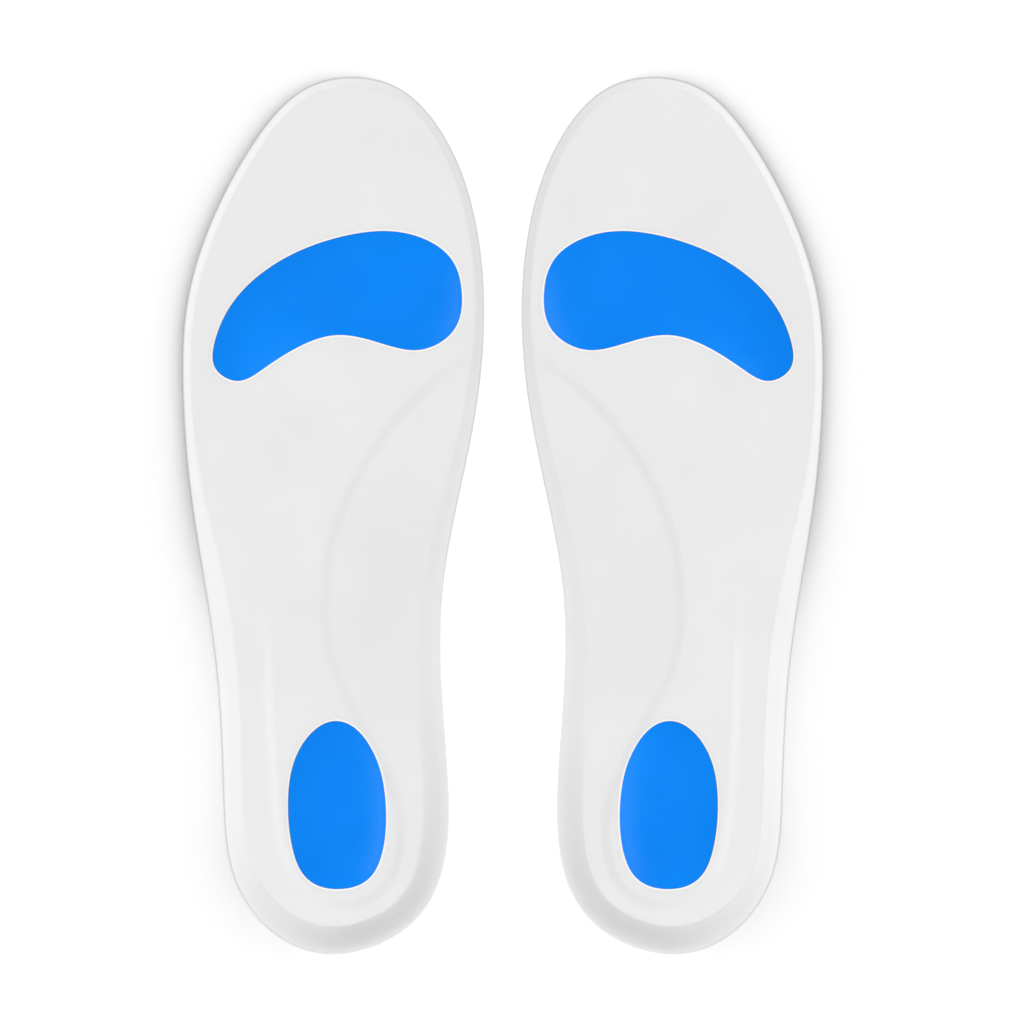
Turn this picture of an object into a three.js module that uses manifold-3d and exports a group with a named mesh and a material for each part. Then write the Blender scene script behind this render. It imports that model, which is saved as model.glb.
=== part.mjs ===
// A pair of full-length silicone gel insoles with soft blue gel pads under the ball of the foot and the heel.
// Each insole is one clear moulding: a flat sole, a heel cup that runs forward as a low wall on both sides,
// a raised arch field inside the big-toe side, and two pockets that the softer pads are bonded into.
//
// Millimetres, +Z up. The soles stand on z = 0, the toes point to +Y, and x = 0 lies midway between the two.
// An insole is drawn in its own plan: u runs from the heel's centre line towards the big-toe side, and v runs
// from the back of the heel to the toe. The left insole is the plan as drawn; the right one is its mirror.
import * as THREE from "three";
import { mergeVertices } from "three/addons/utils/BufferGeometryUtils.js";
import Module from "manifold-3d";

// ---------------------------------------------------------------- driving dimensions
const LENGTH = 270; // back of the heel to the toe
const BALL_WIDTH = 93; // across the ball of the foot
const HEEL_WIDTH = 69; // across the heel cup
const PAIR_GAP = 11.4; // between the two insoles where they come nearest

const HEEL_THICKNESS = 4.4; // of the footbed, under the heel
const BALL_THICKNESS = 3.2; // of the footbed, under the ball
const TOE_THICKNESS = 2.6; // of the footbed, at the toe

const EDGE_LIP = 0.6; // the lip that runs all round, above the footbed
const CUP_RISE = 5; // the heel cup's wall above that lip
const LIP_WIDTH = 1.5; // the rounded crest of the wall
const EDGE_SLOPE = 1.2; // plan width of the lip's inner slope
const CUP_SLOPE = 6.5; // plan width of the heel cup's inner slope
const EDGE_UNDERCUT = 0.7; // how far the lip's outer wall draws in at the sole
const CUP_UNDERCUT = 4; // the same, at the heel cup

const STEP_RISE = 0.45; // from the footbed's hollow up to the field around it
const STEP_RUN = 4; // plan width of that slope
const ARCH_RISE = 1.8; // how much further the arch field climbs to the big-toe side

const BALL_PAD_MARGIN = 8; // from the ball pad's ends to the insole's sides
const BALL_PAD_LENGTH = 46;
const BALL_PAD_SETBACK = 47.6; // from the toe to the ball pad's front
const HEEL_PAD_MARGIN = 19.4; // from the heel pad's sides to the cup's sides
const HEEL_PAD_LENGTH = 51.8;
const HEEL_PAD_SETBACK = 19.6; // from the back of the heel to the pad's back
const POCKET_FLOOR = 1; // gel left under each pad
const PAD_PROUD = 0.4; // the pad's edge above the footbed around it
const PAD_CROWN = 0.9; // the pad's middle above its own edge
const PAD_EDGE_RADIUS = 0.8;
const BOND_LINE = 0.3; // clearance between a pad and its pocket

const CLEAR_GEL = { color: 0xe6e8e8, roughness: 0.3, metalness: 0 };
const BLUE_GEL = { color: 0x0a87f5, roughness: 0.35, metalness: 0 };

// ---------------------------------------------------------------- patterns, drawn at one size and graded
const PATTERN = { length: 270, ballWidth: 93, heelWidth: 69 };

// Round the insole from the back of the heel, up the big-toe side: u, v, and how much there is of the cup's
// inner slope and of its rise, from 0 where the edge is a plain lip to 1 at the back of the heel.
const OUTLINE = [
  [0, 0, 1, 1],
  [23.7, 9.7, 1, 0.62],
  [33.3, 29, 1, 0.38],
  [34.3, 53, 0.95, 0.18],
  [32.3, 83, 0.8, 0.02],
  [32.7, 112, 0.65, 0],
  [37.6, 140.5, 0.4, 0],
  [43, 168, 0.2, 0],
  [45.4, 198, 0, 0],
  [42.4, 227, 0, 0],
  [34.3, 249.5, 0, 0],
  [21, 265.3, 0, 0],
  [5, 270, 0, 0],
  [-12, 265.2, 0, 0],
  [-28, 246.5, 0, 0],
  [-39.5, 224, 0, 0],
  [-46.6, 199, 0, 0],
  [-47.6, 171, 0, 0],
  [-45.4, 143, 0.25, 0.15],
  [-40.7, 113, 0.66, 0.4],
  [-36.7, 84, 0.68, 0.5],
  [-34.9, 50, 0.6, 0.5],
  [-31.7, 24, 0.66, 0.65],
  [-19.5, 6.6, 0.9, 0.9],
];

// The hollow that the foot lies in. It takes in the whole forefoot, so only its waist and heel show.
const HOLLOW = [
  [0, 12.5],
  [15, 17.5],
  [21.5, 33],
  [19, 52],
  [9, 73],
  [0, 92],
  [-1.5, 117],
  [8, 145],
  [29, 172],
  [60, 202],
  [60, 262],
  [0, 300],
  [-70, 262],
  [-72, 202],
  [-50, 152],
  [-28, 118],
  [-23, 86],
  [-21.5, 52],
  [-15, 23],
];

// The ball pad's kidney, drawn round its own middle in shares of its width and length.
const BALL_PAD = [
  [0.15, 0.5],
  [0.32, 0.467],
  [0.45, 0.33],
  [0.5, 0.08],
  [0.46, -0.18],
  [0.325, -0.297],
  [0.17, -0.25],
  [0, -0.197],
  [-0.155, -0.275],
  [-0.295, -0.42],
  [-0.4, -0.505],
  [-0.485, -0.435],
  [-0.495, -0.25],
  [-0.43, 0],
  [-0.3, 0.225],
  [-0.1, 0.405],
];

// The heel pad's egg, the same way.
const HEEL_PAD = [
  [0, 0.5],
  [0.2, 0.45],
  [0.36, 0.325],
  [0.46, 0.165],
  [0.5, -0.04],
  [0.48, -0.23],
  [0.395, -0.385],
  [0.235, -0.473],
  [0, -0.5],
  [-0.225, -0.471],
  [-0.385, -0.375],
  [-0.475, -0.195],
  [-0.5, 0],
  [-0.47, 0.19],
  [-0.37, 0.345],
  [-0.2, 0.46],
];

// ---------------------------------------------------------------- resolution
const SPOKES = 108; // points round an insole, half of them on each side
const COLUMNS = 16; // across the footbed
const PAD_SPOKES = 48;
const PAD_RINGS = [0.85, 0.6, 0.3];
const HOLLOW_POINTS = 160;

// ---------------------------------------------------------------- plan geometry
const mix = (a, b, t) => a + (b - a) * t;
const smooth = (x, low, high) => THREE.MathUtils.smoothstep(x, low, high);

/** A pattern point at the driving sizes, with a further value. Heel and ball have their own widths. */
function graded([u, v], value = 0) {
  const forward = smooth(v / PATTERN.length, 0.3, 0.65);
  const across = mix(HEEL_WIDTH / PATTERN.heelWidth, BALL_WIDTH / PATTERN.ballWidth, forward);
  return new THREE.Vector3(u * across, (v * LENGTH) / PATTERN.length, value);
}

/** Points along a smooth closed curve through the given ones. */
function loop(points, count) {
  const curve = new THREE.CatmullRomCurve3(points, true, "centripetal");
  return curve.getSpacedPoints(count).slice(0, count);
}

/** The outward normal in plan at each point of a loop that runs anticlockwise. */
function normals(points) {
  return points.map((_, i) => {
    const before = points.at(i - 1);
    const after = points[(i + 1) % points.length];
    return new THREE.Vector2(after.y - before.y, before.x - after.x).normalize();
  });
}

const outline = loop(OUTLINE.map((point) => graded(point, point[2])), SPOKES);
const rise = loop(OUTLINE.map((point) => graded(point, point[3])), SPOKES).map((p) => p.z);
const outward = normals(outline);
const hollow = loop(HOLLOW.map((point) => graded(point)), HOLLOW_POINTS);

/** How far a plan point lies outside the hollow's edge, negative inside it. */
function beyondHollow(u, v) {
  let nearest = Infinity;
  let inside = false;
  hollow.forEach((a, i) => {
    const b = hollow[(i + 1) % hollow.length];
    const run = new THREE.Vector2(b.x - a.x, b.y - a.y);
    const from = new THREE.Vector2(u - a.x, v - a.y);
    const along = THREE.MathUtils.clamp(from.dot(run) / run.lengthSq(), 0, 1);
    nearest = Math.min(nearest, from.distanceTo(run.multiplyScalar(along)));
    const crosses = a.y > v !== b.y > v;
    if (crosses && u < a.x + ((v - a.y) * (b.x - a.x)) / (b.y - a.y)) inside = !inside;
  });
  return inside ? -nearest : nearest;
}

// ---------------------------------------------------------------- heights
/** The footbed's thickness at the bottom of its hollow. */
function hollowHeight(v) {
  const share = v / LENGTH;
  const toBall = mix(HEEL_THICKNESS, BALL_THICKNESS, smooth(share, 0.25, 0.68));
  return mix(toBall, TOE_THICKNESS, smooth(share, 0.75, 1));
}

/** The footbed's upper surface: the hollow, the step round it and the arch field. */
function footbedHeight(u, v) {
  const share = v / LENGTH;
  const beyond = beyondHollow(u, v);
  const step = STEP_RISE * smooth(beyond, -STEP_RUN, 0);
  const lateralFade = 1 - smooth(share, 0.3, 0.43);
  const medialFade = 1 - smooth(share, 0.62, 0.74);
  const fade = mix(lateralFade, medialFade, smooth(u, -8, 0));
  const archZone = smooth(share, 0.14, 0.36) * (1 - smooth(share, 0.42, 0.66)) * smooth(u, -8, 0);
  const arch = ARCH_RISE * archZone * smooth(beyond, -STEP_RUN, HEEL_WIDTH / 2);
  return hollowHeight(v) + step * fade + arch;
}

// ---------------------------------------------------------------- solids
const wasm = await Module();
wasm.setup();

/** The triangles of a flat face over a ring of points, numbered from its first. */
function flatFace(ring, start, facesUp) {
  const plan = ring.map((p) => new THREE.Vector2(p.x, p.y));
  return THREE.ShapeUtils.triangulateShape(plan, []).flatMap(([a, b, c]) =>
    facesUp ? [start + a, start + b, start + c] : [start + a, start + c, start + b],
  );
}

/** A closed geometry: a flat face under the first ring, a wall from each ring to the next, and a lid. */
function loft(rings, lid = flatLid) {
  const count = rings[0].length;
  const points = rings.flat();
  const index = flatFace(rings[0], 0, false);
  for (let ring = 0; ring + 1 < rings.length; ring++) {
    for (let i = 0; i < count; i++) {
      const [a, b] = [ring * count + i, ring * count + ((i + 1) % count)];
      index.push(a, b, b + count, a, b + count, a + count);
    }
  }
  index.push(...lid(rings.at(-1), points));
  return new THREE.BufferGeometry().setFromPoints(points).setIndex(index);
}

function flatLid(ring, points) {
  return flatFace(ring, points.length - ring.length, true);
}

/** A lid of rows that cross the ring from side to side, so that it can follow the footbed. */
function footbedLid(ring, points) {
  const rows = ring.length / 2;
  const start = points.length - ring.length;
  const inner = points.length;
  for (let row = 1; row < rows; row++) {
    for (let column = 1; column < COLUMNS; column++) {
      const p = ring[row].clone().lerp(ring[ring.length - row], column / COLUMNS);
      points.push(p.setZ(footbedHeight(p.x, p.y)));
    }
  }
  const at = (row, column) => {
    if (row === 0 || row === rows || column === 0) return start + row;
    if (column === COLUMNS) return start + ring.length - row;
    return inner + (row - 1) * (COLUMNS - 1) + column - 1;
  };
  const index = [];
  for (let row = 0; row < rows; row++) {
    for (let column = 0; column < COLUMNS; column++) {
      const [a, b] = [at(row, column), at(row, column + 1)];
      const [c, d] = [at(row + 1, column), at(row + 1, column + 1)];
      if (c !== d) index.push(a, c, d);
      if (a !== b) index.push(a, d, b);
    }
  }
  return index;
}

/** A geometry as a solid that can be cut. */
function solid(geometry) {
  const merged = mergeVertices(geometry);
  const vertProperties = new Float32Array(merged.getAttribute("position").array);
  const triVerts = new Uint32Array(merged.getIndex().array);
  return new wasm.Manifold(new wasm.Mesh({ numProp: 3, vertProperties, triVerts }));
}

/** A solid back as a geometry. */
function geometryOf(manifold) {
  const mesh = manifold.getMesh();
  const geometry = new THREE.BufferGeometry();
  geometry.setAttribute("position", new THREE.BufferAttribute(mesh.vertProperties, 3));
  return geometry.setIndex(new THREE.BufferAttribute(mesh.triVerts, 1));
}

/** The outline drawn in by a distance that may differ at each point, at a height that may too. */
function inset(distance, height) {
  return outline.map((p, i) => {
    const d = distance(p);
    const u = p.x - outward[i].x * d;
    const v = p.y - outward[i].y * d;
    return new THREE.Vector3(u, v, height(p, u, v));
  });
}

/** The clear moulding before its pockets are cut. */
function shell() {
  const undercut = (p) => mix(EDGE_UNDERCUT, CUP_UNDERCUT, p.z);
  const wall = (p) => LIP_WIDTH + mix(EDGE_SLOPE, CUP_SLOPE, p.z);
  const foot = inset(wall, (p, u, v) => footbedHeight(u, v));
  const crest = foot.map((p, i) => p.z + EDGE_LIP + CUP_RISE * rise[i]);
  const crestOf = (p) => crest[outline.indexOf(p)];
  const rings = [
    inset(undercut, () => 0),
    inset((p) => undercut(p) * 0.38, (p) => crestOf(p) * 0.38),
    inset(() => 0, (p) => crestOf(p) - LIP_WIDTH * 0.45),
    inset(() => LIP_WIDTH * 0.3, (p) => crestOf(p) - LIP_WIDTH * 0.1),
    inset(() => LIP_WIDTH * 0.75, crestOf),
    inset(() => LIP_WIDTH, (p) => crestOf(p) - LIP_WIDTH * 0.08),
    foot,
  ];
  return loft(rings, footbedLid);
}

/** A pad's outline in the insole's plan, grown outwards by a clearance. */
function padOutline({ pattern, centreU, centreV, width, length }, grow) {
  const points = pattern.map(([x, y]) => new THREE.Vector3(centreU + x * width, centreV + y * length, 0));
  const edge = loop(points, PAD_SPOKES).reverse();
  const out = normals(edge);
  return edge.map((p, i) => new THREE.Vector3(p.x + out[i].x * grow, p.y + out[i].y * grow, 0));
}

/** A soft gel pad: a flat base, a rounded edge and a low crown that follows the footbed. */
function pad(plan) {
  const edge = padOutline(plan, 0);
  const out = normals(edge);
  const top = (u, v) => hollowHeight(v) + PAD_PROUD;
  const at = (grow, height) =>
    edge.map((p, i) => {
      const [u, v] = [p.x + out[i].x * grow, p.y + out[i].y * grow];
      return new THREE.Vector3(u, v, height(u, v));
    });
  const r = PAD_EDGE_RADIUS;
  const crown = PAD_RINGS.map((share) =>
    at(-r, () => 0).map((p) => {
      const [u, v] = [mix(plan.centreU, p.x, share), mix(plan.centreV, p.y, share)];
      return new THREE.Vector3(u, v, top(u, v) + PAD_CROWN * (1 - share ** 2.5));
    }),
  );
  return loft([
    at(0, () => POCKET_FLOOR + BOND_LINE),
    at(0, (u, v) => top(u, v) - r),
    at(-r * 0.3, (u, v) => top(u, v) - r * 0.3),
    at(-r, top),
    ...crown,
  ]);
}

/** The prism that a pad's pocket takes out of the moulding. */
function pocket(plan) {
  const edge = padOutline(plan, BOND_LINE);
  const at = (height) => edge.map((p) => new THREE.Vector3(p.x, p.y, height));
  const above = HEEL_THICKNESS + STEP_RISE + ARCH_RISE + EDGE_LIP + CUP_RISE;
  return loft([at(POCKET_FLOOR), at(above)]);
}

const ballPadPlan = {
  pattern: BALL_PAD,
  centreU: 0,
  centreV: LENGTH - BALL_PAD_SETBACK - BALL_PAD_LENGTH / 2,
  width: BALL_WIDTH - 2 * BALL_PAD_MARGIN,
  length: BALL_PAD_LENGTH,
};
const heelPadPlan = {
  pattern: HEEL_PAD,
  centreU: 0,
  centreV: HEEL_PAD_SETBACK + HEEL_PAD_LENGTH / 2,
  width: HEEL_WIDTH - 2 * HEEL_PAD_MARGIN,
  length: HEEL_PAD_LENGTH,
};

/** The clear moulding with its two pockets. */
function base() {
  const moulding = solid(shell());
  const cut = [ballPadPlan, heelPadPlan].reduce((rest, plan) => rest.subtract(solid(pocket(plan))), moulding);
  return geometryOf(cut);
}

// ---------------------------------------------------------------- the pair
/** A geometry turned over from the left foot to the right. */
function mirrored(geometry) {
  const other = geometry.clone().scale(-1, 1, 1);
  const index = other.getIndex();
  for (let i = 0; i < index.count; i += 3) {
    const b = index.getX(i + 1);
    index.setX(i + 1, index.getX(i + 2));
    index.setX(i + 2, b);
  }
  return other;
}

function piece(name, geometry, finish) {
  const shaded = geometry.toNonIndexed();
  shaded.computeVertexNormals();
  const mesh = new THREE.Mesh(shaded, new THREE.MeshStandardMaterial(finish));
  mesh.name = name;
  return mesh;
}

const medialReach = Math.max(...outline.map((p) => p.x));
const heelLine = PAIR_GAP / 2 + medialReach;
const shapes = [
  ["gel_base", base(), CLEAR_GEL],
  ["ball_pad", pad(ballPadPlan), BLUE_GEL],
  ["heel_pad", pad(heelPadPlan), BLUE_GEL],
];

/** One insole, placed beside the plane midway between the two. */
function insole(foot, side) {
  const group = new THREE.Group();
  for (const [part, geometry, finish] of shapes) {
    group.add(piece(`${foot}_${part}`, side < 0 ? geometry : mirrored(geometry), finish));
  }
  group.position.set(side * heelLine, -LENGTH / 2, 0);
  return group;
}

const pair = new THREE.Group();
pair.add(insole("left", -1), insole("right", 1));

export default pair;
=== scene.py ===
"""A pair of clear silicone gel insoles with blue gel pads, on a white table, seen from straight above.

The CAD pieces are faceted stand-ins. Each of the six is replaced here by a fine mesh of the same shape, drawn
from the same patterns: u runs from the heel's centre line to the big-toe side, v from the back of the heel to
the toe, both in millimetres. The left insole is the plan as drawn and the right one is its mirror.
"""
import math

import bpy
import numpy as np
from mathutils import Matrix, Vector


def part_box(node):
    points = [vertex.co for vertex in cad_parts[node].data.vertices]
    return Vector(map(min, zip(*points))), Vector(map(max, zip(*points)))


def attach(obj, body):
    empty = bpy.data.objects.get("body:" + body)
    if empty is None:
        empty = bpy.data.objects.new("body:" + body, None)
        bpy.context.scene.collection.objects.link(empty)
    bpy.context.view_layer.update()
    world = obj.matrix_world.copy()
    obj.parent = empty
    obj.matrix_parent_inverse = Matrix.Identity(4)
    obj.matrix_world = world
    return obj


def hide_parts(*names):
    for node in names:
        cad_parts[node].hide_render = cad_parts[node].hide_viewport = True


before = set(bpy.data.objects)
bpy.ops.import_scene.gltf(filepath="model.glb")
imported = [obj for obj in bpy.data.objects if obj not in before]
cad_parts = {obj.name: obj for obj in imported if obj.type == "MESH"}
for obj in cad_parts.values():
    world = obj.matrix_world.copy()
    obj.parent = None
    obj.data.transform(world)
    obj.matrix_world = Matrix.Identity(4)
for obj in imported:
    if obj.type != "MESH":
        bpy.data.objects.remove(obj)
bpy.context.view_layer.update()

MM = 0.001

# ---------------------------------------------------------------- patterns and sizes, as in the CAD model
OUTLINE = [  # u, v, and how much of the cup's inner slope and of its rise there is
    (0, 0, 1, 1), (23.7, 9.7, 1, 0.62), (33.3, 29, 1, 0.38), (34.3, 53, 0.95, 0.18),
    (32.3, 83, 0.8, 0.02), (32.7, 112, 0.65, 0), (37.6, 140.5, 0.4, 0), (43, 168, 0.2, 0),
    (45.4, 198, 0, 0), (42.4, 227, 0, 0), (34.3, 249.5, 0, 0), (21, 265.3, 0, 0),
    (5, 270, 0, 0), (-12, 265.2, 0, 0), (-28, 246.5, 0, 0), (-39.5, 224, 0, 0),
    (-46.6, 199, 0, 0), (-47.6, 171, 0, 0), (-45.4, 143, 0.25, 0.15), (-40.7, 113, 0.66, 0.4),
    (-36.7, 84, 0.68, 0.5), (-34.9, 50, 0.6, 0.5), (-31.7, 24, 0.66, 0.65), (-19.5, 6.6, 0.9, 0.9),
]
HOLLOW = [  # the hollow that the foot lies in
    (0, 12.5), (15, 17.5), (21.5, 33), (19, 52), (9, 73), (0, 92), (-1.5, 117), (8, 145), (29, 172),
    (60, 202), (60, 262), (0, 300), (-70, 262), (-72, 202), (-50, 152), (-28, 118), (-23, 86),
    (-21.5, 52), (-15, 23),
]
BALL_PAD = [  # in shares of its width and length
    (0.15, 0.5), (0.32, 0.467), (0.45, 0.33), (0.5, 0.08), (0.46, -0.18), (0.325, -0.297),
    (0.17, -0.25), (0, -0.197), (-0.155, -0.275), (-0.295, -0.42), (-0.4, -0.505), (-0.485, -0.435),
    (-0.495, -0.25), (-0.43, 0), (-0.3, 0.225), (-0.1, 0.405),
]
HEEL_PAD = [  # the same way
    (0, 0.5), (0.2, 0.45), (0.36, 0.325), (0.46, 0.165), (0.5, -0.04), (0.48, -0.23),
    (0.395, -0.385), (0.235, -0.473), (0, -0.5), (-0.225, -0.471), (-0.385, -0.375), (-0.475, -0.195),
    (-0.5, 0), (-0.47, 0.19), (-0.37, 0.345), (-0.2, 0.46),
]
PATTERN_MEDIAL = 45.4  # the furthest that the outline reaches to the big-toe side
PATTERN_WIDTH = 93.1
HALF_HEEL_WIDTH = 34.5

HEEL_THICKNESS, BALL_THICKNESS, TOE_THICKNESS = 4.4, 3.2, 2.6
EDGE_LIP, CUP_RISE = 0.6, 5  # the lip all round, and the heel cup's wall above it
LIP_WIDTH, EDGE_SLOPE, CUP_SLOPE = 1.5, 1.2, 6.5
EDGE_UNDERCUT, CUP_UNDERCUT = 0.7, 4  # how far the outer wall draws in at the sole
STEP_RISE, STEP_RUN, ARCH_RISE = 0.45, 4, 1.8
POCKET_FLOOR, BOND_LINE, PAD_PROUD, PAD_CROWN = 1, 0.3, 0.4, 0.9

# ---------------------------------------------------------------- roundings that the CAD model leaves out
SOLE_ROUND = 0.6
LIP_ROUND, LIP_DROP = 0.35, 0.35  # the lip's outer edge, in plan and in height
OUTER_BULGE = 0.85  # power of the outer wall's curve, where 1 is straight
SLOPE_HOLLOW = 0.6  # power of the inner slope's curve at its crest
FOOT_MARGINS = (0.35, 0.8, 1.4, 2.2)  # rings on the footbed, beside the foot of the inner slope
POCKET_WALL = (1.2, 4.2)  # where a pocket's wall starts and ends, inside the pad's edge, which covers it
EDGE_ROUND, EDGE_HEIGHT = 0.55, 0.45  # of a pad's edge, above the footbed
EDGE_FOOT = 0.1  # the upright foot of that edge
PAD_CLEARANCE = 0.02  # between a pad's rim and the footbed that it covers
RIM_RUN = (1.3, 0.3)  # the rim's flat underside, from its inner end to its outer one
CROWN_MARGINS = (1.2, 1.8, 2.5, 3.3, 4.2)  # rings on a pad, inside its edge
CROWN_RUN = 10  # from a pad's edge to where its crown is level
CROWN_POWER = 2.2
HULL_RUN = 4.6  # how far a pad's underside is drawn in from its edge
HULL_ROUND = 0.93, 0.1  # the share of that run, and the height, where the underside turns upwards

# ---------------------------------------------------------------- fineness of the meshes
SPOKES = 720  # points round an insole
COLUMNS, SOLE_COLUMNS = 120, 40  # across its footbed and its sole
SOLE_RINGS, WALL_RINGS, LIP_RINGS, SLOPE_RINGS = 5, 9, 8, 20
PAD_SPOKES = 360
PAD_COLUMNS, HULL_COLUMNS = 40, 10
PAD_EDGE_RINGS = 9
HOLLOW_POINTS = 360
SLOPE_SAMPLES = 200
PIECEWISE = 60  # samples between two points of a pattern
AT_ONCE = 2000  # plan points measured together

# ---------------------------------------------------------------- the frame
left_low, left_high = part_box("left_gel_base")
LENGTH = (left_high.y - left_low.y) / MM
WIDTH_SCALE = (left_high.x - left_low.x) / MM / PATTERN_WIDTH
HEEL_LINE = -left_high.x / MM + PATTERN_MEDIAL * WIDTH_SCALE


# ---------------------------------------------------------------- plan geometry
def smooth(x, low, high):
    """0 below low, 1 above high, and an even curve between."""
    t = np.clip((np.asarray(x, float) - low) / (high - low), 0, 1)
    return t * t * (3 - 2 * t)


def mix(a, b, t):
    return a + (b - a) * t


def closed_curve(points, count):
    """Evenly spaced points on a closed curve through the given ones, with no jump in its curvature."""
    p = np.asarray(points, float)
    n = len(p)
    ahead = np.roll(p, -1, axis=0)
    h = np.sqrt(np.linalg.norm((ahead - p)[:, :2], axis=1))
    system = np.zeros((n, n))
    for i in range(n):
        system[i, i - 1] += h[i - 1]
        system[i, i] += 2 * (h[i - 1] + h[i])
        system[i, (i + 1) % n] += h[i]
    slope = (ahead - p) / h[:, None]
    bend = np.linalg.solve(system, 6 * (slope - np.roll(slope, 1, axis=0)))
    bend_ahead = np.roll(bend, -1, axis=0)

    def at(s):
        i = np.minimum(s.astype(int), n - 1)
        step = h[i][:, None]
        t = (s - i)[:, None] * step
        back = step - t
        return (
            bend[i] * back**3 / (6 * step)
            + bend_ahead[i] * t**3 / (6 * step)
            + (p[i] / step - bend[i] * step / 6) * back
            + (ahead[i] / step - bend_ahead[i] * step / 6) * t
        )

    fine = np.linspace(0, n, n * PIECEWISE + 1)
    walked = np.linalg.norm(np.diff(at(fine)[:, :2], axis=0), axis=1)
    walked = np.concatenate([[0], np.cumsum(walked)])
    even = np.interp(np.linspace(0, walked[-1], count, endpoint=False), walked, fine)
    return at(even)


def normals(loop):
    """The outward normal at each point of a loop that runs anticlockwise."""
    run = np.roll(loop, -1, axis=0) - np.roll(loop, 1, axis=0)
    out = np.stack([run[:, 1], -run[:, 0]], axis=1)
    return out / np.linalg.norm(out, axis=1, keepdims=True)


def signed_distance(at, loop):
    """How far each plan point lies outside a loop, negative inside it."""
    a = loop[:, :2]
    run = np.roll(a, -1, axis=0) - a
    rise = np.where(run[:, 1] == 0, 1e-12, run[:, 1])
    found = np.empty(len(at))
    for start in range(0, len(at), AT_ONCE):
        q = at[start : start + AT_ONCE, None, :2]
        share = np.clip(((q - a) * run).sum(2) / (run**2).sum(1), 0, 1)
        gap = np.linalg.norm(q - a - share[..., None] * run, axis=2).min(1)
        spans = (a[:, 1] > q[..., 1]) != (a[:, 1] + run[:, 1] > q[..., 1])
        crosses = spans & (q[..., 0] < a[:, 0] + (q[..., 1] - a[:, 1]) * run[:, 0] / rise)
        inside = crosses.sum(1) % 2 == 1
        found[start : start + AT_ONCE] = np.where(inside, -gap, gap)
    return found


outline = closed_curve(OUTLINE, SPOKES)
outline[:, 0] *= WIDTH_SCALE
outline[:, 1] = (outline[:, 1] - outline[:, 1].min()) * LENGTH / np.ptp(outline[:, 1])
outward = normals(outline[:, :2])
slope_share, rise_share = np.clip(outline[:, 2:].T, 0, 1)
hollow = closed_curve(HOLLOW, HOLLOW_POINTS)


def pad_loop(node, pattern, ends):
    """A pad's outline in the left insole's plan, filling its CAD node's box.

    It starts at the first of its two ends, and half of its points lie on each side between them.
    """
    low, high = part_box(node)
    fine = closed_curve(pattern, PAD_SPOKES * 8)[::-1]
    start, turn = (np.argmin(np.linalg.norm(fine - end, axis=1)) for end in ends)
    fine = np.roll(fine, -start, axis=0)
    turn = (turn - start) % len(fine)
    half = np.linspace(0, 1, PAD_SPOKES // 2, endpoint=False)
    where = np.concatenate([half * turn, turn + half * (len(fine) - turn)])
    numbers = np.arange(len(fine) + 1)
    closed = np.vstack([fine, fine[:1]])
    loop = np.column_stack([np.interp(where, numbers, closed[:, axis]) for axis in (0, 1)])
    size = np.array([high.x - low.x, high.y - low.y]) / MM
    corner = np.array([low.x / MM + HEEL_LINE, low.y / MM + LENGTH / 2])
    return (loop - fine.min(axis=0)) / np.ptp(fine, axis=0) * size + corner


ball_loop = pad_loop("left_ball_pad", BALL_PAD, ((0.49, -0.05), (-0.47, -0.45)))
heel_loop = pad_loop("left_heel_pad", HEEL_PAD, ((0, -0.5), (0, 0.5)))


# ---------------------------------------------------------------- heights
def hollow_height(v):
    """The footbed's thickness at the bottom of its hollow."""
    share = v / LENGTH
    to_ball = mix(HEEL_THICKNESS, BALL_THICKNESS, smooth(share, 0.25, 0.68))
    return mix(to_ball, TOE_THICKNESS, smooth(share, 0.75, 1))


def footbed_height(at):
    """The footbed's upper surface: the hollow, the step round it and the arch field."""
    u, v = at[:, 0], at[:, 1]
    share = v / LENGTH
    beyond = signed_distance(at, hollow)
    step = STEP_RISE * smooth(beyond, -STEP_RUN, 0)
    lateral_fade = 1 - smooth(share, 0.3, 0.43)
    medial_fade = 1 - smooth(share, 0.62, 0.74)
    medial = smooth(u, -8, 0)
    fade = mix(lateral_fade, medial_fade, medial)
    arch_zone = smooth(share, 0.14, 0.36) * (1 - smooth(share, 0.42, 0.66)) * medial
    arch = ARCH_RISE * arch_zone * smooth(beyond, -STEP_RUN, HALF_HEEL_WIDTH)
    return hollow_height(v) + step * fade + arch


def pocket_drop(distance, height):
    """How far the base drops under a pad, by the distance outside the pad's edge."""
    return (height - POCKET_FLOOR) * smooth(-distance, *POCKET_WALL)


# ---------------------------------------------------------------- meshes
def cross_points(ring, columns):
    """The inner points, in plan, of rows that cross a ring between points that face each other."""
    rows = len(ring) // 2
    share = np.arange(1, columns) / columns
    near, far = ring[1:rows, None, :2], ring[:rows:-1, None, :2]
    return mix(near, far, share[None, :, None]).reshape(-1, 2)


def cross_faces(count, columns, ring_start, inner_start):
    """The faces between those rows."""
    rows = count // 2

    def at(row, column):
        if row in (0, rows) or column == 0:
            return ring_start + row
        if column == columns:
            return ring_start + count - row
        return inner_start + (row - 1) * (columns - 1) + column - 1

    faces = []
    for row in range(rows):
        for column in range(columns):
            corners = at(row, column), at(row + 1, column), at(row + 1, column + 1), at(row, column + 1)
            faces.append(list(dict.fromkeys(corners)))
    return faces


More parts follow.
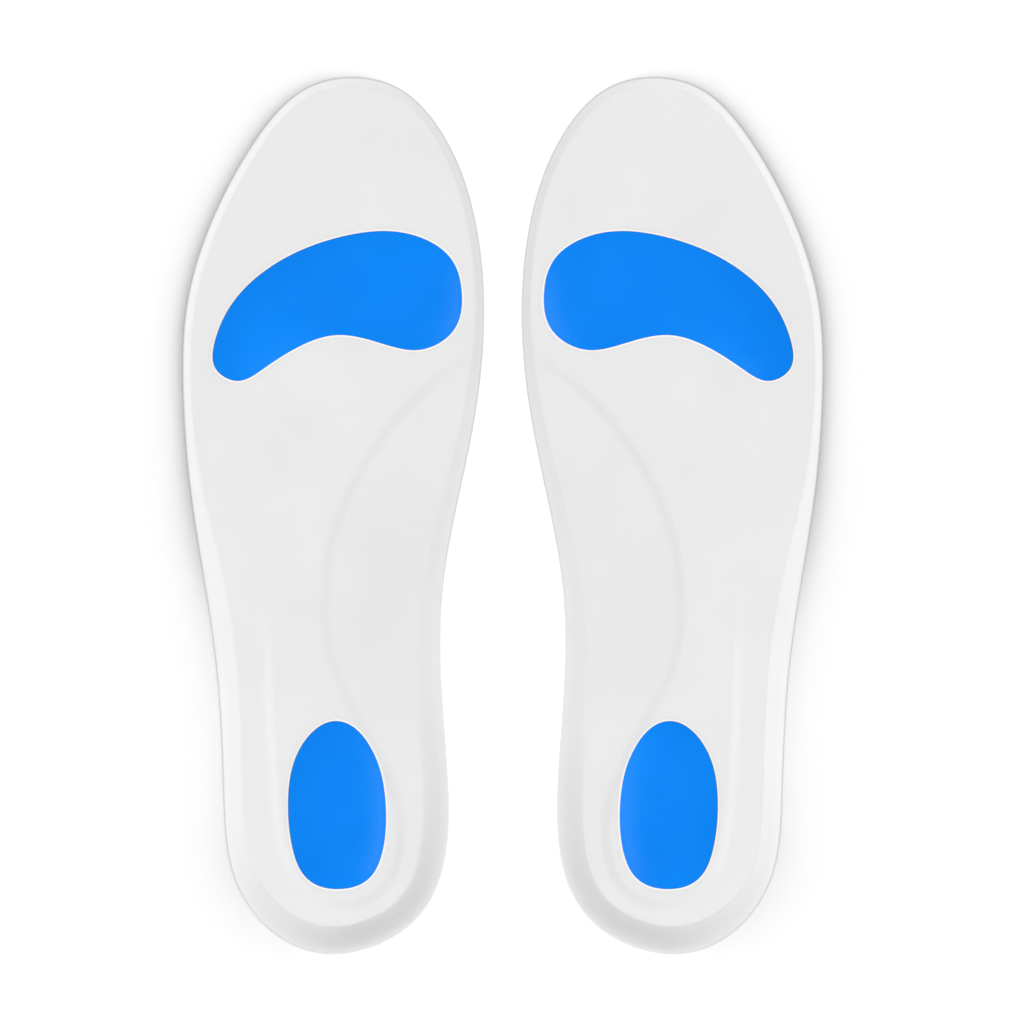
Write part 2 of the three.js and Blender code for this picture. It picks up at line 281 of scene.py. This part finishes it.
def closed_shape(rings, top_height, top_columns, floor_height, floor_columns):
    """Points and faces of a shape: a wall through the rings, a woven top and a woven flat underside."""
    count = len(rings[0])
    i = np.arange(count)
    j = (i + 1) % count
    faces = []
    for r in range(len(rings) - 1):
        faces += (np.stack([i, j, j + count, i + count], axis=1) + r * count).tolist()
    wall = np.concatenate(rings)
    top = cross_points(rings[-1], top_columns)
    floor = cross_points(rings[0], floor_columns)
    faces += cross_faces(count, top_columns, len(wall) - count, len(wall))
    below = cross_faces(count, floor_columns, 0, len(wall) + len(top))
    faces += [face[::-1] for face in below]
    top = np.column_stack([top, top_height(top)])
    floor = np.column_stack([floor, np.full(len(floor), floor_height)])
    return np.concatenate([wall, top, floor]), faces


def base_shape():
    """The clear moulding of the left insole, in its plan, and what its material reads at each point."""
    slope_foot = LIP_WIDTH + mix(EDGE_SLOPE, CUP_SLOPE, slope_share)
    undercut = mix(EDGE_UNDERCUT, CUP_UNDERCUT, slope_share)

    def inset(distance):
        return outline[:, :2] - outward * np.reshape(distance, (-1, 1))

    foot_height = footbed_height(inset(slope_foot))
    crest = foot_height + EDGE_LIP + CUP_RISE * rise_share
    rings = []

    def ring(distance, height):
        plan = inset(np.broadcast_to(distance, SPOKES))
        rings.append(np.column_stack([plan, np.broadcast_to(height, SPOKES)]))

    for turn in np.linspace(0, math.pi / 2, SOLE_RINGS):
        ring(undercut + SOLE_ROUND * (1 - math.sin(turn)), SOLE_ROUND * (1 - math.cos(turn)))
    for share in np.linspace(0, 1, WALL_RINGS)[1:]:
        ring(undercut * (1 - share**OUTER_BULGE), mix(SOLE_ROUND, crest - LIP_DROP, share))
    for turn in np.linspace(0, math.pi / 2, LIP_RINGS)[1:]:
        ring(LIP_ROUND * (1 - math.cos(turn)), crest - LIP_DROP * (1 - math.sin(turn)))
    climb = np.linspace(0, 1, SLOPE_SAMPLES)
    rise = np.cumsum((0.6 + 1.4 * climb) * (1 - climb) ** SLOPE_HOLLOW)
    rise = (rise - rise[0]) / (rise[-1] - rise[0])
    for share in np.linspace(1, 0, SLOPE_RINGS)[1:]:
        height = mix(foot_height, crest, np.interp(share, climb, rise))
        ring(mix(slope_foot, LIP_ROUND, share), height)
    for margin in FOOT_MARGINS:
        ring(slope_foot + margin, footbed_height(inset(slope_foot + margin)))

    points, faces = closed_shape(rings, footbed_height, COLUMNS, 0, SOLE_COLUMNS)
    pad_distance = np.minimum(signed_distance(points, ball_loop), signed_distance(points, heel_loop))
    upper = np.arange(len(points)) >= (len(rings) - 1) * SPOKES
    upper &= points[:, 2] > 0
    points[:, 2] -= np.where(upper, pocket_drop(pad_distance, points[:, 2]), 0)
    on_sole = points[:, 2] == 0
    pad_above = np.where(on_sole, smooth(-pad_distance, 0, 1.5), 0)
    pad_distance = np.where(on_sole, LENGTH, pad_distance)
    edge_distance = -signed_distance(points, outline)
    forefoot = smooth(points[:, 1] / LENGTH, 0.25, 0.6)
    clearness = (1 - forefoot) * smooth(points[:, 2], 0.5, 3) * (1 - smooth(points[:, 2], 5, 9))
    measures = {"pad_distance": pad_distance, "pad_above": pad_above, "edge_distance": edge_distance}
    return points, faces, measures | {"forefoot": forefoot, "clearness": clearness}


def pad_shape(loop):
    """A gel pad in the left insole's plan: a rounded edge, a low crown and a hull that fills its pocket."""
    out = normals(loop)
    pocket_floor = POCKET_FLOOR + BOND_LINE

    def crown(plan):
        inward = -signed_distance(plan, loop) - EDGE_ROUND
        share = 1 - np.clip(inward / CROWN_RUN, 0, 1)
        crowning = (PAD_PROUD + PAD_CROWN - EDGE_HEIGHT) * (1 - share**CROWN_POWER)
        return footbed_height(plan) + EDGE_HEIGHT + crowning

    rings = []

    def ring(inward, height):
        plan = loop - out * inward
        rings.append(np.column_stack([plan, height(plan)]))

    turn_share, turn_height = HULL_ROUND
    ring(HULL_RUN, lambda plan: np.full(len(plan), pocket_floor))
    ring(HULL_RUN * turn_share, lambda plan: np.full(len(plan), pocket_floor + turn_height))
    for inward in RIM_RUN:
        ring(inward, lambda plan: footbed_height(plan) + PAD_CLEARANCE)
    for turn in np.linspace(0, math.pi / 2, PAD_EDGE_RINGS):
        edge = EDGE_FOOT + (EDGE_HEIGHT - EDGE_FOOT) * math.sin(turn)
        ring(EDGE_ROUND * (1 - math.cos(turn)), lambda plan: footbed_height(plan) + edge)
    for inward in CROWN_MARGINS:
        ring(inward, crown)
    return *closed_shape(rings, crown, PAD_COLUMNS, pocket_floor, HULL_COLUMNS), {}


def make_piece(name, shape, side, body, node, material):
    """One insole's piece: the plan's shape placed beside the plane between the two insoles, or its mirror."""
    points, faces, measures = shape
    across = side * (HEEL_LINE - points[:, 0])
    placed = np.column_stack([across, points[:, 1] - LENGTH / 2, points[:, 2]]) * MM
    wound = faces if side < 0 else [face[::-1] for face in faces]
    mesh = bpy.data.meshes.new(name)
    mesh.from_pydata(placed.tolist(), [], wound)
    mesh.shade_smooth()
    for measure, values in measures.items():
        layer = mesh.attributes.new(measure, "FLOAT", "POINT")
        layer.data.foreach_set("value", np.asarray(values, float))
    mesh.materials.append(material)
    mesh.update()
    piece = bpy.data.objects.new(name, mesh)
    bpy.context.scene.collection.objects.link(piece)
    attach(piece, body)
    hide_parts(node)
    return piece


# ---------------------------------------------------------------- materials
def new_material(name):
    material = bpy.data.materials.new(name)
    material.use_nodes = True
    nodes = material.node_tree.nodes
    return material, nodes, material.node_tree.links, nodes["Principled BSDF"]


def add(nodes, kind, inputs=(), **settings):
    """A shader node with some of its inputs and settings given."""
    node = nodes.new(f"ShaderNode{kind}")
    for name, value in settings.items():
        setattr(node, name, value)
    for name, value in dict(inputs).items():
        node.inputs[name].default_value = value
    return node


def measure(nodes, links, name, start, end, low=0, high=1):
    """A mesh's own measure, run smoothly from low where it is start to high where it is end."""
    source = add(nodes, "Attribute", attribute_name=name)
    ends = {"From Min": start, "From Max": end, "To Min": low, "To Max": high}
    span = add(nodes, "MapRange", ends, interpolation_type="SMOOTHSTEP")
    links.new(source.outputs["Fac"], span.inputs["Value"])
    return span.outputs["Result"]


def cloud(nodes, links, size, low, high, detail=2):
    """A soft noise with patches of a given size, from low to high."""
    place = add(nodes, "TexCoord")
    noise = add(nodes, "TexNoise", {"Scale": 1 / size, "Detail": detail})
    span = add(nodes, "MapRange", {"From Min": 0.3, "From Max": 0.7, "To Min": low, "To Max": high})
    links.new(place.outputs["Object"], noise.inputs["Vector"])
    links.new(noise.outputs["Fac"], span.inputs["Value"])
    return span.outputs["Result"]


def blend(nodes, links, a, b, share):
    """The mix of two colours, each plain or a socket, by a share."""
    node = add(nodes, "Mix", data_type="RGBA")
    for name, colour in (("A", a), ("B", b)):
        if isinstance(colour, tuple):
            node.inputs[name].default_value = (*colour, 1)
        else:
            links.new(colour, node.inputs[name])
    links.new(share, node.inputs["Factor"])
    return node.outputs["Result"]


def orange_peel(nodes, links, shader, size, height):
    """The faint unevenness of a moulded skin."""
    bump = add(nodes, "Bump", {"Strength": 0.5, "Distance": height})
    links.new(cloud(nodes, links, size, 0, 1, detail=3), bump.inputs["Height"])
    links.new(bump.outputs["Normal"], shader.inputs["Normal"])


def clear_gel():
    """Milky clear silicone, soft inside, with painted shade greying its edge and a painted highlight, a warm
    white line, round each pad.

    Under the pads the gel is thin, and their blue shows through the sole. Shadow rays pass through the wall
    of the heel cup, as light does.
    """
    material, nodes, links, shader = new_material("clear_gel")
    shader.inputs["IOR"].default_value = 1.41
    shader.inputs["Specular IOR Level"].default_value = 0.4
    shader.inputs["Subsurface Radius"].default_value = (1.0, 1.0, 1.0)
    shader.inputs["Subsurface Scale"].default_value = 0.002
    milkiness = cloud(nodes, links, 0.025, 0, 1)
    body = blend(nodes, links, (0.762, 0.762, 0.762), (0.778, 0.778, 0.776), milkiness)
    # Painted shade: the gel turns greyer towards its outer edge, within 4.5 mm of it.
    edge_shade = measure(nodes, links, "edge_distance", 4.5, 0.5)
    body = blend(nodes, links, body, (0.74, 0.74, 0.74), edge_shade)
    forefoot = measure(nodes, links, "forefoot", 0, 1)
    # Painted shade: a darker line along the outer edge's rounding, darker at the forefoot than at the heel.
    rim_shade_colour = blend(nodes, links, (0.7, 0.705, 0.685), (0.58, 0.585, 0.57), forefoot)
    rim_shade = measure(nodes, links, "edge_distance", 0.8, 0.3)
    body = blend(nodes, links, body, rim_shade_colour, rim_shade)
    # Painted highlight: a warm white line on the gel just round each pad's edge.
    pad_edge_highlight = measure(nodes, links, "pad_distance", 0.6, 0.35)
    body = blend(nodes, links, body, (0.97, 0.89, 0.79), pad_edge_highlight)
    pad_above = measure(nodes, links, "pad_above", 0, 1)
    body = blend(nodes, links, body, (0.3, 0.5, 0.82), pad_above)
    links.new(body, shader.inputs["Base Color"])
    inside = add(nodes, "Math", operation="MULTIPLY")
    links.new(measure(nodes, links, "pad_distance", 0.35, 0.6), inside.inputs[0])
    links.new(measure(nodes, links, "edge_distance", 0.5, 4), inside.inputs[1])
    links.new(inside.outputs["Value"], shader.inputs["Subsurface Weight"])
    links.new(cloud(nodes, links, 0.012, 0.34, 0.44), shader.inputs["Roughness"])
    orange_peel(nodes, links, shader, 0.004, 0.00003)

    clear = add(nodes, "BsdfTransparent")
    links.new(measure(nodes, links, "clearness", 0, 1, 0.3, 0.95), clear.inputs["Color"])
    ray = add(nodes, "LightPath")
    surface = add(nodes, "MixShader")
    links.new(ray.outputs["Is Shadow Ray"], surface.inputs["Fac"])
    links.new(shader.outputs["BSDF"], surface.inputs[1])
    links.new(clear.outputs["BSDF"], surface.inputs[2])
    links.new(surface.outputs["Shader"], nodes["Material Output"].inputs["Surface"])
    return material


def blue_gel():
    """Bright blue silicone with a satin skin and slightly cloudy colour."""
    material, nodes, links, shader = new_material("blue_gel")
    shader.inputs["IOR"].default_value = 1.41
    shader.inputs["Specular IOR Level"].default_value = 0.15
    colour = blend(nodes, links, (0, 0.2, 0.8), (0, 0.222, 0.85), cloud(nodes, links, 0.03, 0, 1))
    links.new(colour, shader.inputs["Base Color"])
    links.new(cloud(nodes, links, 0.01, 0.2, 0.26), shader.inputs["Roughness"])
    orange_peel(nodes, links, shader, 0.003, 0.00003)
    return material


def white_table():
    material, nodes, links, shader = new_material("white_table")
    shader.inputs["Base Color"].default_value = (0.93, 0.93, 0.93, 1)
    shader.inputs["Roughness"].default_value = 1
    shader.inputs["Specular IOR Level"].default_value = 0
    return material


# ---------------------------------------------------------------- the insoles
gel, blue, table = clear_gel(), blue_gel(), white_table()
shapes = {"gel_base": base_shape(), "ball_pad": pad_shape(ball_loop), "heel_pad": pad_shape(heel_loop)}
insoles = {}
for foot, side in (("left", -1), ("right", 1)):
    insoles[foot] = []
    for part, shape in shapes.items():
        slot, material = ("clear_gel", gel) if part == "gel_base" else ("blue_gel", blue)
        name, node = f"{foot}_{part}_fine", f"{foot}_{part}"
        piece = make_piece(name, shape, side, f"{foot}_insole", node, material)
        insoles[foot].append(piece)

# ---------------------------------------------------------------- table, light and camera
TABLE_REACH = 3
TABLE_DROP = 0.0002  # below the soles, so that the two faces don't coincide


def table_half(name, side):
    """Half of the table top, from the plane between the insoles outwards."""
    inner, outer = sorted((0, side * TABLE_REACH))
    corners = [(inner, -TABLE_REACH), (outer, -TABLE_REACH), (outer, TABLE_REACH), (inner, TABLE_REACH)]
    mesh = bpy.data.meshes.new(name)
    mesh.from_pydata([(x, y, -TABLE_DROP) for x, y in corners], [], [(0, 1, 2, 3)])
    mesh.materials.append(table)
    half = bpy.data.objects.new(name, mesh)
    bpy.context.scene.collection.objects.link(half)
    return half


def sun(name, energy, angle, towards, lit, shading, glossy=True):
    """A distant light, as broad as its angle in degrees. It reaches one collection and another stops it."""
    light = bpy.data.lights.new(name, "SUN")
    light.energy = energy
    light.angle = math.radians(angle)
    lamp = bpy.data.objects.new(name, light)
    lamp.rotation_euler = Vector(towards).to_track_quat("Z", "Y").to_euler()
    lamp.light_linking.receiver_collection = lit
    lamp.light_linking.blocker_collection = shading
    lamp.visible_glossy = glossy
    bpy.context.scene.collection.objects.link(lamp)


def collection(name, things):
    found = bpy.data.collections.new(name)
    for thing in things:
        found.objects.link(thing)
    return found


def light_insole(foot, side):
    """Broad light from the table's middle and from overhead, for one insole and its half of the table."""
    insole = collection(f"{foot}_insole_lit", insoles[foot])
    half = collection(f"{foot}_table_lit", [table_half(f"{foot}_table", side)])
    sun(f"{foot}_table_side_light", 2.5, 80, (-side, -0.2, 1), half, insole)
    sun(f"{foot}_table_overhead_light", 0.9, 20, (0, 0, 1), half, insole)
    sun(f"{foot}_insole_side_light", 1.75, 50, (-side * 0.75, -0.22, 1), insole, insole)
    sun(f"{foot}_insole_overhead_light", 1.4, 120, (0, 0, 1), insole, insole, glossy=False)


light_insole("left", -1)
light_insole("right", 1)

world = bpy.data.worlds.new("studio")
bpy.context.scene.world = world
world.use_nodes = True
sky = world.node_tree.nodes["Background"]
sky.inputs["Color"].default_value = (1, 1, 1, 1)
sky.inputs["Strength"].default_value = 0.25

VIEW_WIDTH = 0.3163  # of the table, across the picture
VIEW_CENTRE = (0.0028, 0.0008)
FAR_END = 20  # of what the camera sees
lens = bpy.data.cameras.new("camera")
lens.lens, lens.sensor_width = 200, 36
lens.clip_end = FAR_END
camera = bpy.data.objects.new("camera", lens)
camera.location = (*VIEW_CENTRE, VIEW_WIDTH * lens.lens / lens.sensor_width)
bpy.context.scene.collection.objects.link(camera)
bpy.context.scene.camera = camera
bpy.context.scene.view_settings.view_transform = "Standard"
